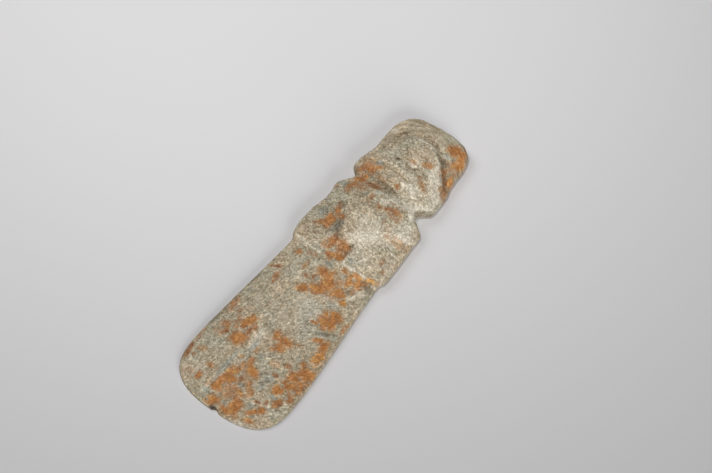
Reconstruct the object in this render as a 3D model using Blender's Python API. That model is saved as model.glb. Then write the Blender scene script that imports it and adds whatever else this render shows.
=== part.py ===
"""Axe god pendant: a stone celt with a figure carved in low relief on its upper half.

The stone lies on its flat back.  +Y runs up it from the cutting edge to the crown, +X is to the right
of the carved face, +Z comes out of the face, and the origin is the middle of the back.  All sizes are
in millimetres; build() turns them into metres.
"""

import math

import bmesh
import bpy
import numpy as np
from mathutils import Vector
from mathutils.geometry import delaunay_2d_cdt

for old in list(bpy.data.objects):
    bpy.data.objects.remove(old)

MM = 0.001

# ---------------------------------------------------------------- driving dimensions (mm)
LENGTH = 118.1
EDGE_TOP = -43.7            # height at which the blade is widest and its rounded edge begins
EDGE_SQUARENESS = 2.8       # power of the superellipse that rounds the cutting edge
CROWN_BASE = 46.3           # height at which the rounding of the crown begins
LEFT_CROWN_SQUARENESS, RIGHT_CROWN_SQUARENESS = 2.8, 3.6

# Half widths going up the stone, as (height, half width).  The two sides were cut by eye and differ.
LEFT_SIDE = (
    (EDGE_TOP, 18.9), (-30.0, 17.9), (-5.0, 15.5), (0.0, 15.1), (2.6, 16.4), (6.0, 16.9), (12.0, 16.6),
    (18.2, 15.3), (20.5, 15.3), (23.4, 15.8), (24.8, 15.3), (26.4, 13.4), (27.8, 12.4), (29.0, 12.3),
    (30.3, 13.4), (31.6, 14.6), (33.0, 15.1), (35.0, 15.1), (38.4, 14.1), (41.8, 13.1), (44.2, 13.4),
    (CROWN_BASE, 13.4),
)
RIGHT_SIDE = (
    (EDGE_TOP, 19.0), (-5.0, 16.4), (2.4, 16.0), (4.6, 16.9), (7.0, 17.1), (14.0, 16.9),
    (19.0, 16.7), (23.4, 16.7), (24.8, 16.1), (26.0, 14.4), (27.2, 12.3), (28.0, 11.6), (28.7, 11.5),
    (29.6, 12.0), (30.6, 13.2), (31.5, 14.3), (32.4, 15.0), (34.6, 15.2), (40.0, 15.1), (43.5, 14.3),
    (CROWN_BASE, 14.0),
)
# Worn places in the two ends, as (x, half width, depth)
EDGE_CHIP = (0.9, 1.5, 0.8)
CROWN_DIP = (-3.5, 4.5, 0.3)

# Thickness along the middle line and along the rim, as (height, thickness)
BLADE_SPINE = ((-59.0, 0.9), (-54.0, 2.1), (-44.0, 3.2), (-22.0, 4.1), (2.0, 4.7))
BLADE_RIM = ((-59.0, 0.8), (-44.0, 1.2), (2.0, 1.9))
CHEST_SPINE = ((0.0, 6.2), (8.0, 7.6), (18.0, 8.7), (27.0, 8.7), (34.0, 9.1), (41.0, 8.3), (47.0, 7.5),
               (52.0, 6.6), (59.0, 5.4))
WING_SPINE = 5.9
CREST_SPINE = ((30.0, 4.9), (52.0, 4.9), (59.0, 4.0))
FIGURE_RIM = 3.1
# Half width of the stone before its sides were notched, as (height, half width)
BLANK_SIDE = ((-59.0, 18.8), (EDGE_TOP, 18.8), (0.0, 15.8), (6.0, 16.8), (22.0, 16.0), (35.0, 15.4),
              (46.0, 14.0), (59.0, 13.0))
CHEST_FLATNESS = 2.1        # power of a cross-section: 2 is a parabola, higher is flatter across
LOW_FLATNESS = 2.6          # the same for blade, wings and crest

# Carved lines, as (x, y) points that a smooth line runs through from left to right
BELT = ((-18.0, 0.5), (-9.0, 0.3), (-5.0, -0.7), (-2.0, -1.6), (1.0, -0.4), (3.4, 0.5), (9.0, 0.8),
        (18.0, 1.8))
WING_TOP = ((-16.5, 20.5), (-12.8, 19.2), (-9.8, 16.6), (-7.2, 12.2), (-4.5, 8.7), (-0.8, 7.0),
            (2.4, 8.4), (5.4, 10.4), (9.2, 13.0), (12.2, 16.0), (14.6, 18.2), (17.5, 20.0))
FACE_EDGE = ((-15.6, 36.4), (-13.0, 37.6), (-10.8, 39.8), (-9.6, 42.4), (-8.8, 45.4), (-8.2, 48.2),
             (-6.6, 50.8), (-3.3, 52.3), (0.4, 52.8), (4.2, 51.9), (6.7, 49.7), (8.8, 47.3),
             (10.8, 44.9), (12.8, 42.4), (14.6, 39.6), (15.8, 36.8))
NECK = ((-17.0, 28.6), (-8.0, 29.2), (0.0, 29.3), (7.0, 29.0), (17.0, 29.4))
MOUTH = ((-9.0, 31.4), (-4.0, 31.7), (2.6, 31.4))
BEAK = ((-15.5, 34.4), (-10.0, 35.0), (-6.0, 35.5), (-1.0, 35.6), (4.2, 34.8))

# Width of the slope at a step between two levels, as (x, width)
BELT_SLOPE = ((-16.0, 2.2), (-4.0, 1.8), (4.0, 0.8), (16.0, 0.7))
WING_SLOPE = ((-14.0, 4.0), (-6.0, 5.0), (-1.0, 3.0), (16.0, 2.8))
FACE_SLOPE = 1.5
WING_SLOPE_BELOW = 0.25     # share of the slope that lies on the wing's side of the line

# The tail, a sunk field between the tips of the wings
TAIL_LEFT, TAIL_LEFT_SLOPE = -4.6, 1.4
TAIL_RIGHT, TAIL_RIGHT_SLOPE = 3.3, 0.5
TAIL_DEPTH = 1.1

NECK_DEPTH, NECK_HALF_WIDTH = 2.4, 2.4
NECK_FADE = 0.75            # share of the neck's depth that is lost at the two notches
MOUTH_DEPTH, MOUTH_HALF_WIDTH = 0.75, 1.1
BEAK_DEPTH, BEAK_HALF_WIDTH = 0.6, 1.3
BROW_DEPTH, BROW_HALF_WIDTH, BROW_OFFSET = 0.55, 1.1, 0.3   # groove at the foot of the face's step
BROW_WEAR = 0.7             # share of step and groove that is worn off on the left cheek
BROW_WEAR_X, BROW_WEAR_Y = -7.0, 49.0
EYES = ((-3.1, 39.6), (3.2, 39.6))
EYE_DEPTH, EYE_RADIUS = 0.9, 0.85

WALL_SHARE = 0.45           # share of the rim's thickness that is upright wall
EDGE_ROUND = 1.1            # width over which the upper edge is rounded
ARRIS = 0.35                # easing of the lower edge

# Distances between the points of the surface, and how near a new point may come, as a share of them
FIGURE_SPACING, BLADE_SPACING = 0.98, 2.2
RIM_RINGS = (0.3, 0.9)
RING_ROOM, LINE_ROOM, LATTICE_ROOM = 0.25, 0.5, 0.62
RING_MARGIN, MARGIN = 0.2, 1.2          # least distance from the outline


# ---------------------------------------------------------------- curves
def smooth(stations, at):
    """Value at a place of the curve that runs through the stations without overshooting them."""
    place, value = np.array(stations, dtype=float).T
    step = np.diff(place)
    rise = np.diff(value) / step
    slope = np.zeros_like(value)
    before, after = rise[:-1], rise[1:]
    agree = before * after > 0
    slope[1:-1][agree] = 2 * before[agree] * after[agree] / (before + after)[agree]
    at = np.clip(at, place[0], place[-1])
    i = np.clip(np.searchsorted(place, at, side="right") - 1, 0, len(step) - 1)
    t = (at - place[i]) / step[i]
    return (value[i] * (1 + 2 * t) * (1 - t) ** 2 + value[i + 1] * t * t * (3 - 2 * t)
            + step[i] * (slope[i] * t * (1 - t) ** 2 - slope[i + 1] * t * t * (1 - t)))


def ease(t):
    """0 below 0, 1 above 1, and a soft S between."""
    t = np.clip(t, 0, 1)
    return t * t * (3 - 2 * t)


def distance_to(line, x, y, closed=False):
    """Shortest distance from each place to a line of points."""
    start = line if closed else line[:-1]
    span = (np.roll(line, -1, 0) if closed else line[1:]) - start
    nearest = np.full(x.shape, np.inf)
    for (ax, ay), (dx, dy) in zip(start, span):
        t = np.clip(((x - ax) * dx + (y - ay) * dy) / (dx * dx + dy * dy), 0, 1)
        nearest = np.minimum(nearest, np.hypot(x - ax - t * dx, y - ay - t * dy))
    return nearest


def carved_line(stations, step=0.5):
    """Points along a carved line."""
    reach = np.arange(stations[0][0], stations[-1][0] + step / 2, step)
    return np.stack([reach, smooth(stations, reach)], 1)


def above(stations, x, y):
    """Distance from a carved line, positive on its upper side."""
    return distance_to(carved_line(stations), x, y) * np.where(y > smooth(stations, x), 1, -1)


def inset(loop, distance):
    """The loop moved inwards by a distance."""
    along = np.roll(loop, -1, 0) - np.roll(loop, 1, 0)
    along /= np.linalg.norm(along, axis=1)[:, None]
    return loop + distance * np.stack([-along[:, 1], along[:, 0]], 1)


# ---------------------------------------------------------------- outline
def side(stations, crown_squareness):
    """Points up one side, from the middle of the cutting edge to the middle of the crown, x positive."""
    turn = np.linspace(0, math.pi / 2, 90)
    edge_x = stations[0][1] * np.sin(turn) ** (2 / EDGE_SQUARENESS)
    edge_y = EDGE_TOP - (LENGTH / 2 + EDGE_TOP) * np.cos(turn) ** (2 / EDGE_SQUARENESS)
    flank_y = np.arange(EDGE_TOP, CROWN_BASE, 0.1)
    crown_x = stations[-1][1] * np.cos(turn) ** (2 / crown_squareness)
    crown_y = CROWN_BASE + (LENGTH / 2 - CROWN_BASE) * np.sin(turn) ** (2 / crown_squareness)
    return (np.concatenate([edge_x, smooth(stations, flank_y), crown_x]),
            np.concatenate([edge_y, flank_y, crown_y]))


def worn_away(x, place, half_width, depth):
    return depth * (1 - ease(np.abs(x - place) / half_width))


def spacing(y):
    """Distance between surface points: fine on the figure, coarse on the plain blade."""
    return FIGURE_SPACING + (BLADE_SPACING - FIGURE_SPACING) * ease((-2.0 - y) / 8.0)


def outline():
    """Closed outline seen from the front, anticlockwise from the middle of the cutting edge."""
    right_x, right_y = side(RIGHT_SIDE, RIGHT_CROWN_SQUARENESS)
    left_x, left_y = side(LEFT_SIDE, LEFT_CROWN_SQUARENESS)
    x = np.concatenate([right_x, -left_x[::-1]])
    y = np.concatenate([right_y, left_y[::-1]])
    y = np.where(y < EDGE_TOP, y + worn_away(x, *EDGE_CHIP), y)
    y = np.where(y > CROWN_BASE, y - worn_away(x, *CROWN_DIP), y)
    run = np.hypot(np.diff(x, append=x[0]), np.diff(y, append=y[0])) / spacing(y)
    walked = np.concatenate([[0.0], np.cumsum(run)])
    stops = np.linspace(0, walked[-1], int(round(walked[-1])), endpoint=False)
    return np.stack([np.interp(stops, walked, np.append(x, x[0])),
                     np.interp(stops, walked, np.append(y, y[0]))], 1)


# ---------------------------------------------------------------- carving
def lens(x, y, spine, rim, flatness):
    """Cross-section that is spine high in the middle and rim high at the edge."""
    across = np.clip(np.abs(x) / smooth(BLANK_SIDE, y), 0, 1)
    return rim + (spine - rim) * (1 - across ** flatness)


def groove(offset, half_width, depth):
    return depth * (1 - ease(np.abs(offset) / half_width))


def chest_and_wings(x, y):
    """The raised chest, the wings one step lower, and the tail sunk between their tips."""
    chest = lens(x, y, smooth(CHEST_SPINE, y), FIGURE_RIM, CHEST_FLATNESS)
    wing = lens(x, y, WING_SPINE, FIGURE_RIM, LOW_FLATNESS)
    up = above(WING_TOP, x, y)
    tail = ease((x - TAIL_LEFT) / TAIL_LEFT_SLOPE) * ease((TAIL_RIGHT - x) / TAIL_RIGHT_SLOPE) * ease(-up)
    return wing + (chest - wing) * ease(WING_SLOPE_BELOW + up / smooth(WING_SLOPE, x)) - TAIL_DEPTH * tail


def with_crest(height, x, y):
    """Cuts the crest down round the face, with a groove at the foot of the step."""
    crest = lens(x, y, smooth(CREST_SPINE, y), FIGURE_RIM, LOW_FLATNESS)
    out = above(FACE_EDGE, x, y)
    left = 1 - BROW_WEAR * ease((BROW_WEAR_X - x) / 2.0) * ease((BROW_WEAR_Y - y) / 4.0)
    height = height + (crest - height) * ease(1 + out / FACE_SLOPE) * left
    return height - groove(out - BROW_OFFSET, BROW_HALF_WIDTH, BROW_DEPTH) * left


def with_neck_and_face(height, x, y):
    """Cuts the neck, the mouth, the line over the beak, and the two drilled eyes."""
    across = np.clip(np.abs(x) / smooth(BLANK_SIDE, y), 0, 1)
    height = height - groove(above(NECK, x, y), NECK_HALF_WIDTH, NECK_DEPTH) * (1 - NECK_FADE * across ** 2)
    height = height - groove(distance_to(carved_line(MOUTH), x, y), MOUTH_HALF_WIDTH, MOUTH_DEPTH)
    height = height - groove(distance_to(carved_line(BEAK), x, y), BEAK_HALF_WIDTH, BEAK_DEPTH)
    for eye_x, eye_y in EYES:
        height = height - groove(np.hypot(x - eye_x, y - eye_y), EYE_RADIUS, EYE_DEPTH)
    return height


def surface(x, y, from_edge):
    """Height of the front of the stone at a place that is from_edge inside the outline."""
    blade = lens(x, y, smooth(BLADE_SPINE, y), smooth(BLADE_RIM, y), LOW_FLATNESS)
    figure = with_neck_and_face(with_crest(chest_and_wings(x, y), x, y), x, y)
    height = blade + (figure - blade) * ease(0.5 + above(BELT, x, y) / smooth(BELT_SLOPE, x))
    reach = np.clip(from_edge / np.minimum(EDGE_ROUND, height), 0, 1)
    return height * (WALL_SHARE + (1 - WALL_SHARE) * np.sqrt(1 - (1 - reach) ** 2))


# ---------------------------------------------------------------- surface points
def inside(loop, x, y):
    """Whether each place lies inside the loop: a line drawn from it crosses the loop an odd number of times."""
    crossings = np.zeros(x.shape, dtype=int)
    for (ax, ay), (bx, by) in zip(loop, np.roll(loop, -1, 0)):
        if ay != by:
            crossings += ((ay > y) != (by > y)) & (x < ax + (y - ay) * (bx - ax) / (by - ay))
    return crossings % 2 == 1


def line_points():
    """Places along the carved lines, on their floors and on both edges, and round the eyes."""
    offsets = (
        (BELT, (-0.9, 0.9)),
        (WING_TOP, (-0.7, 2.2)),
        (NECK, (-NECK_HALF_WIDTH, 0.0, NECK_HALF_WIDTH)),
        (FACE_EDGE, (-FACE_SLOPE, BROW_OFFSET, BROW_OFFSET + BROW_HALF_WIDTH)),
        (MOUTH, (0.0,)),
        (BEAK, (-BEAK_HALF_WIDTH, 0.0, BEAK_HALF_WIDTH)),
    )
    places = []
    for line, sideways in offsets:
        course = carved_line(line, FIGURE_SPACING)
        places += [inset(course, offset)[1:-1] for offset in sideways]
    turn = np.arange(8) * math.tau / 8
    ring = np.stack([np.cos(turn), np.sin(turn)], 1)
    for eye in EYES:
        places += [np.array([eye]), eye + ring * EYE_RADIUS / 2, eye + ring * EYE_RADIUS]
    return places


def lattice_points():
    """Rows of places in a triangular pattern over the whole stone."""
    rows = []
    y = -LENGTH / 2
    while y < LENGTH / 2:
        pitch = spacing(y)
        x = np.arange(-20.0, 20.0, pitch) + pitch / 2 * (len(rows) % 2)
        rows.append(np.stack([x, np.full(x.shape, y)], 1))
        y += pitch * math.sqrt(0.75)
    return rows


def surface_points(loop):
    """Places of the front's vertices: the outline, rings inside it, the carved lines, and the lattice."""
    kept = loop
    rings = [inset(loop, distance) for distance in RIM_RINGS]
    for group, room, margin in ((rings, RING_ROOM, RING_MARGIN), (line_points(), LINE_ROOM, MARGIN),
                                (lattice_points(), LATTICE_ROOM, MARGIN)):
        for places in group:
            x, y = places.T
            nearest = np.array([np.min(np.hypot(*(kept - place).T)) for place in places])
            free = (nearest > room * spacing(y)) & (distance_to(loop, x, y, closed=True) > margin)
            kept = np.concatenate([kept, places[free & inside(loop, x, y)]])
    return kept


# ---------------------------------------------------------------- the stone
def build():
    """The closed solid: carved front, upright wall, eased lower edge and flat back."""
    loop = outline()
    count = len(loop)
    places, _, faces, origins, _, _ = delaunay_2d_cdt(
        [Vector(place) for place in surface_points(loop)], [], [list(range(count))], 1, 1e-4)
    x, y = np.array([tuple(place) for place in places]).T
    height = surface(x, y, distance_to(loop, x, y, closed=True))

    bm = bmesh.new()
    front = [bm.verts.new(Vector(place) * MM) for place in zip(x, y, height)]
    for face in faces:
        bm.faces.new([front[i] for i in face])
    vertex_of = {origin[0]: i for i, origin in enumerate(origins) if origin and origin[0] < count}
    rim = [front[vertex_of[i]] for i in range(count)]
    wall = [bm.verts.new((v.co.x, v.co.y, min(ARRIS * MM, 0.4 * v.co.z))) for v in rim]
    foot = [bm.verts.new((px * MM, py * MM, 0.0)) for px, py in inset(loop, ARRIS)]
    for upper, lower in ((rim, wall), (wall, foot)):
        for i in range(count):
            j = (i + 1) % count
            bm.faces.new((upper[j], upper[i], lower[i], lower[j]))
    bm.faces.new(foot[::-1])
    bmesh.ops.triangulate(bm, faces=bm.faces[:])
    bmesh.ops.recalc_face_normals(bm, faces=bm.faces[:])
    mesh = bpy.data.meshes.new("axe_god_pendant")
    bm.to_mesh(mesh)
    bm.free()
    mesh.shade_smooth()
    mesh.set_sharp_from_angle(angle=math.radians(50))
    return mesh


def stone():
    """Grey-green to tan stone, dull all over."""
    material = bpy.data.materials.new("stone")
    material.use_nodes = True
    shader = material.node_tree.nodes["Principled BSDF"]
    shader.inputs["Base Color"].default_value = (0.36, 0.30, 0.22, 1.0)
    shader.inputs["Roughness"].default_value = 0.75
    shader.inputs["Metallic"].default_value = 0.0
    return material


pendant = bpy.data.objects.new("axe_god_pendant", build())
pendant.data.materials.append(stone())
bpy.context.collection.objects.link(pendant)
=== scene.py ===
"""Axe god pendant: a worn stone celt with a low-relief figure, rust stained, lying on a pale sheet."""

import math

import bpy
import numpy as np
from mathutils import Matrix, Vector
from mathutils.geometry import delaunay_2d_cdt
from mathutils.kdtree import KDTree


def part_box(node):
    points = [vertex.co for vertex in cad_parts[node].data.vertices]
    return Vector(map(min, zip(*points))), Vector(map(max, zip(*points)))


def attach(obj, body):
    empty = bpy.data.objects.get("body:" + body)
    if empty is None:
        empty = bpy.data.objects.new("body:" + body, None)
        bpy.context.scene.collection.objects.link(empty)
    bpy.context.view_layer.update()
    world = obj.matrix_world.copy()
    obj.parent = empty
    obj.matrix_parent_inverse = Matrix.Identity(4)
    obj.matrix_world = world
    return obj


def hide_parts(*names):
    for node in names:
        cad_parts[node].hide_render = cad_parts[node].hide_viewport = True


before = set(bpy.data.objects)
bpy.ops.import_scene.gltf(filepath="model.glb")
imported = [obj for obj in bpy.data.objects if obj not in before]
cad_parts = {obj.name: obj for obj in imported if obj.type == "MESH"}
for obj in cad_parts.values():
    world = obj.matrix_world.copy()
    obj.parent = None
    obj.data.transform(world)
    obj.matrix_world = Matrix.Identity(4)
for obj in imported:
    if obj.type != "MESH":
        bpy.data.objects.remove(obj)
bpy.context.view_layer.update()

# ------------------------ the camera
# A long lens on a copy stand, turned so that the stone runs from the lower left to the upper right, and
# tipped back from straight overhead.
MM = 0.001  # metres
UPRIGHT = Vector((0.0, 0.0, 1.0))
CAMERA_TURN = math.radians(36.13)  # about the upright axis
CAMERA_RISE = math.radians(62.0)  # above the sheet
CAMERA_DISTANCE = 641.5 * MM
AIM_RIGHT, AIM_UP = -0.2 * MM, 13.2 * MM  # from the middle of the stone to what the lens is aimed at

low, high = (Vector(corner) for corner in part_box("axe_god_pendant"))
camera_aim = Vector(((low.x + high.x) / 2 + AIM_RIGHT, (low.y + high.y) / 2 + AIM_UP, low.z))
away = Vector((-math.sin(CAMERA_TURN), math.cos(CAMERA_TURN), 0.0))  # from the camera across the sheet
rightwards = Vector((away.y, -away.x, 0.0))

camera = bpy.data.objects.new("camera", bpy.data.cameras.new("camera"))
camera.data.lens = 105.0
camera.data.sensor_width = 36.0
camera.data.clip_start = 0.01
camera.location = camera_aim + CAMERA_DISTANCE * (
    math.sin(CAMERA_RISE) * UPRIGHT - math.cos(CAMERA_RISE) * away)
camera.rotation_euler = (camera_aim - camera.location).to_track_quat("-Z", "Y").to_euler()
bpy.context.collection.objects.link(camera)
bpy.context.scene.camera = camera
bpy.context.scene.view_settings.view_transform = "Standard"

# ------------------------ the stone
# One slab of coarse grey-green stone, ground to the shape of an axe blade, then pecked and ground into a
# hooded figure: crest, face, neck, chest, two wings, and the sunk tail between their tips.  It is loose
# and lies on its flat back.  Sizes here are in millimetres; +Y runs up the stone, +X right of the face.

# Its outline, as half widths going up the stone: (height, half width)
LENGTH = (high.y - low.y) / MM
EDGE_TOP = -43.7  # the cutting edge is rounded below this height
CROWN_BASE = 46.3  # the crown is rounded above this height
EDGE_SQUARENESS, LEFT_CROWN_SQUARENESS, RIGHT_CROWN_SQUARENESS = 2.8, 2.8, 3.6
LEFT_SIDE = (
    (EDGE_TOP, 18.9), (-30, 17.9), (-5, 15.5), (0, 15.1), (2.6, 16.4), (6, 16.9), (12, 16.6),
    (18.2, 15.3), (20.5, 15.3), (23.4, 15.8), (24.8, 15.3), (26.4, 13.4), (27.8, 12.4), (29, 12.3),
    (30.3, 13.4), (31.6, 14.6), (33, 15.1), (35, 15.1), (38.4, 14.1), (41.8, 13.1), (44.2, 13.4),
    (CROWN_BASE, 13.4),
)
RIGHT_SIDE = (
    (EDGE_TOP, 19), (-5, 16.4), (2.4, 16), (4.6, 16.9), (7, 17.1), (14, 16.9), (19, 16.7),
    (23.4, 16.7), (24.8, 16.1), (26, 14.4), (27.2, 12.3), (28, 11.6), (28.7, 11.5), (29.6, 12),
    (30.6, 13.2), (31.5, 14.3), (32.4, 15), (34.6, 15.2), (36.4, 15.2), (40, 15.1), (43.5, 14.3),
    (CROWN_BASE, 14),
)
EDGE_CHIP_X, EDGE_CHIP = 0.9, (1.5, 0.8)  # worn places in the two ends, as (half width, depth)
CROWN_DIP_X, CROWN_DIP = -3.5, (4.5, 0.3)

# Its thickness along the middle line and along the rim, as (height, thickness)
BLADE_SPINE = ((-59, 0.9), (-54, 2.1), (-44, 3.2), (-22, 4.1), (2, 4.7))
BLADE_RIM = ((-59, 0.8), (-44, 1.2), (2, 1.9))
CHEST_SPINE = ((0, 6.2), (8, 7.6), (18, 8.7), (27, 8.7), (34, 9.1), (41, 8.3), (47, 7.5),
               (52, 6.4), (59, 5.4))
WING_SPINE = 5.9
CREST_SPINE = ((30, 4.9), (46, 4.9), (53.5, 5.2), (59, 4.1))
FIGURE_RIM = 3.1
BLANK_SIDE = ((-59, 18.8), (EDGE_TOP, 18.8), (0, 15.8), (6, 16.8), (22, 16), (35, 15.4),
              (46, 14), (59, 13))
CHEST_FLATNESS, LOW_FLATNESS = 2.1, 2.6  # power of the cross-sections

# Its carved lines, as (x, y) points that a smooth line runs through
BELT = ((-18, 0.5), (-9, 0.3), (-5, -0.7), (-2, -1.6), (1, -0.4), (3.4, 0.5), (9, 0.8),
        (18, 1.8))
WING_TOP = ((-16.5, 20.5), (-12.8, 19.2), (-9.8, 16.6), (-7.2, 12.2), (-4.5, 8.7), (-0.8, 7),
            (2.4, 8.4), (5.4, 10.4), (9.2, 13), (12.2, 16), (14.6, 18.2), (17.5, 20))
FACE_EDGE = ((-15.6, 36.4), (-13, 37.6), (-10.8, 39.8), (-9.6, 42.4), (-8.8, 45.4), (-8.2, 48.2),
             (-6.6, 50.8), (-3.3, 52.3), (0.4, 52.8), (4.2, 51.9), (6.7, 49.7), (8.8, 47.3),
             (10.8, 44.9), (12.8, 42.4), (14.6, 39.6), (15.8, 36.8))
NECK = ((-17, 28.6), (-8, 29.2), (0, 29.3), (7, 29), (17, 29.4))
MOUTH = ((-9, 31.4), (-4, 31.7), (2.6, 31.4))
BEAK = ((-15.5, 34.4), (-10, 35), (-6, 35.5), (-1, 35.6), (4.2, 34.8))
EYES = ((-3.1, 39.6), (3.2, 39.6))

# The slopes at the steps between two levels, as (x, width), and the share on the lower wing's side
BELT_SLOPE = ((-16, 3.2), (-4, 2.4), (4, 0.8), (16, 0.7))
WING_SLOPE = ((-14, 4), (-6, 5), (-1, 3), (16, 2.8))
WING_SLOPE_BELOW = 0.25
FACE_SLOPE = ((-12, 2), (-6, 3), (3, 2.8), (8, 1.6), (13, 1.2))
TAIL_LEFT, TAIL_LEFT_SLOPE = -4.6, 1.4
TAIL_RIGHT, TAIL_RIGHT_SLOPE = 3.3, 0.5

# The depths and half widths of the cuts; a pair is (x, depth)
TAIL_DEPTH = 1.1
NECK_DEPTH = ((-14, 2.4), (-1, 2.2), (6, 1.4), (12, 1.1))
NECK_HALF_WIDTH, NECK_FADE = 2.9, 0.75  # the cut loses this share of its depth at the sides
MOUTH_DEPTH, MOUTH_HALF_WIDTH = 0.65, 1.4
BEAK_DEPTH, BEAK_HALF_WIDTH = 0.6, 1.3
EYE_DEPTH, EYE_RADIUS = 0.9, 0.85
BROW_DEPTH = ((-12, 0.4), (-4, 0.15), (4, 0.15), (9, 0.45), (14, 0.55))
BROW_HALF_WIDTH, BROW_OFFSET = 1.1, 0.3
# The brow's step is worn down left of this x and below this y, over these widths
BROW_WEAR, BROW_WEAR_X, BROW_WEAR_Y, BROW_WEAR_ACROSS, BROW_WEAR_ALONG = 0.7, -7.0, 49.0, 2.0, 4.0

# Its rim: part upright wall, part rounded; but the right notch of the neck was sawn, with a steep flat
# wall under a crisp lip, as (height, how much of it)
WALL_SHARE, EDGE_ROUND = 0.45, 1.1
SAWN_NOTCH = ((27.8, 0), (28.6, 1), (31.6, 1), (33.6, 0))
SAWN_FOOT, SAWN_WIDTH = 0.3, 0.8
RIGHT_HALF = 4.0  # x at which the finish of the right side is fully reached

# Fine lines scratched or cut into the front, as (x, y) from, (x, y) to, half width, depth
CUTS = (
    ((9.6, 13), (15.6, 12.4), 0.28, 0.16),
    ((10.5, 14.9), (15.4, 14.6), 0.25, 0.10),
    ((7.6, 5), (8.6, 7.8), 0.22, 0.10),
    ((12.6, 35.4), (14.6, 34), 0.30, 0.22),
    ((-8.9, 49.2), (-6.6, 52.4), 0.45, 0.35),
    ((3.2, 8.8), (4.6, 9.9), 0.30, 0.22),
)


def smooth(stations, at):
    """Value at a place of the curve that runs through the stations without overshooting them."""
    place, value = np.array(stations, dtype=float).T
    step = np.diff(place)
    rise = np.diff(value) / step
    slope = np.zeros_like(value)
    before, after = rise[:-1], rise[1:]
    agree = before * after > 0
    slope[1:-1][agree] = 2 * before[agree] * after[agree] / (before + after)[agree]
    at = np.clip(at, place[0], place[-1])
    i = np.clip(np.searchsorted(place, at, side="right") - 1, 0, len(step) - 1)
    t = (at - place[i]) / step[i]
    return (value[i] * (1 + 2 * t) * (1 - t) ** 2 + value[i + 1] * t * t * (3 - 2 * t)
            + step[i] * (slope[i] * t * (1 - t) ** 2 - slope[i + 1] * t * t * (1 - t)))


def ease(t):
    """0 below 0, 1 above 1, and a soft S between."""
    t = np.clip(t, 0, 1)
    return t * t * (3 - 2 * t)


def distance_to(line, x, y, closed=False):
    """Shortest distance from each place to a line of points."""
    start = line if closed else line[:-1]
    span = (np.roll(line, -1, 0) if closed else line[1:]) - start
    nearest = np.full(x.shape, np.inf)
    for (ax, ay), (dx, dy) in zip(start, span):
        t = np.clip(((x - ax) * dx + (y - ay) * dy) / (dx * dx + dy * dy), 0, 1)
        nearest = np.minimum(nearest, np.hypot(x - ax - t * dx, y - ay - t * dy))
    return nearest


def carved_line(stations, step=0.4):
    """Points along a carved line."""
    reach = np.arange(stations[0][0], stations[-1][0] + step / 2, step)
    return np.stack([reach, smooth(stations, reach)], 1)


def above(stations, x, y):
    """Distance from a carved line, positive on its upper side."""
    return distance_to(carved_line(stations), x, y) * np.where(y > smooth(stations, x), 1, -1)


def to_the_rim(x, y):
    """How far across the uncut stone each place lies: 0 on its middle line, 1 at its side."""
    return np.clip(np.abs(x) / smooth(BLANK_SIDE, y), 0, 1)


def lens(x, y, spine, rim, flatness):
    """Cross-section that is spine high in the middle and rim high at the edge."""
    return rim + (spine - rim) * (1 - to_the_rim(x, y) ** flatness)


def groove(offset, half_width, depth):
    """Depth of a rounded groove at an offset from its middle line."""
    return depth * (1 - ease(np.abs(offset) / half_width))


def chest_and_wings(x, y):
    """The raised chest, the wings one step lower, and the tail sunk between their tips."""
    chest = lens(x, y, smooth(CHEST_SPINE, y), FIGURE_RIM, CHEST_FLATNESS)
    wing = lens(x, y, WING_SPINE, FIGURE_RIM, LOW_FLATNESS)
    up = above(WING_TOP, x, y)
    tail = ease((x - TAIL_LEFT) / TAIL_LEFT_SLOPE) * ease((TAIL_RIGHT - x) / TAIL_RIGHT_SLOPE) * ease(-up)
    return wing + (chest - wing) * ease(WING_SLOPE_BELOW + up / smooth(WING_SLOPE, x)) - TAIL_DEPTH * tail


def with_crest(height, x, y):
    """Cuts the crest down round the face, with a groove at the foot of the step."""
    crest = lens(x, y, smooth(CREST_SPINE, y), FIGURE_RIM, LOW_FLATNESS)
    out = above(FACE_EDGE, x, y)
    worn = ease((BROW_WEAR_X - x) / BROW_WEAR_ACROSS) * ease((BROW_WEAR_Y - y) / BROW_WEAR_ALONG)
    left = 1 - BROW_WEAR * worn
    height = height + (crest - height) * ease(1 + out / smooth(FACE_SLOPE, x)) * left
    return height - groove(out - BROW_OFFSET, BROW_HALF_WIDTH, smooth(BROW_DEPTH, x)) * left


def with_neck_and_face(height, x, y):
    """Cuts the neck, the mouth, the line over the beak, and the two drilled eyes."""
    fade = 1 - NECK_FADE * to_the_rim(x, y) ** 2
    height = height - groove(above(NECK, x, y), NECK_HALF_WIDTH, smooth(NECK_DEPTH, x)) * fade
    height = height - groove(distance_to(carved_line(MOUTH), x, y), MOUTH_HALF_WIDTH, MOUTH_DEPTH)
    height = height - groove(distance_to(carved_line(BEAK), x, y), BEAK_HALF_WIDTH, BEAK_DEPTH)
    for eye_x, eye_y in EYES:
        height = height - groove(np.hypot(x - eye_x, y - eye_y), EYE_RADIUS, EYE_DEPTH)
    return height


def with_fine_cuts(height, x, y):
    """Cuts the fine lines."""
    for start, end, half_width, depth in CUTS:
        height = height - groove(distance_to(np.array([start, end]), x, y), half_width, depth)
    return height


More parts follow.
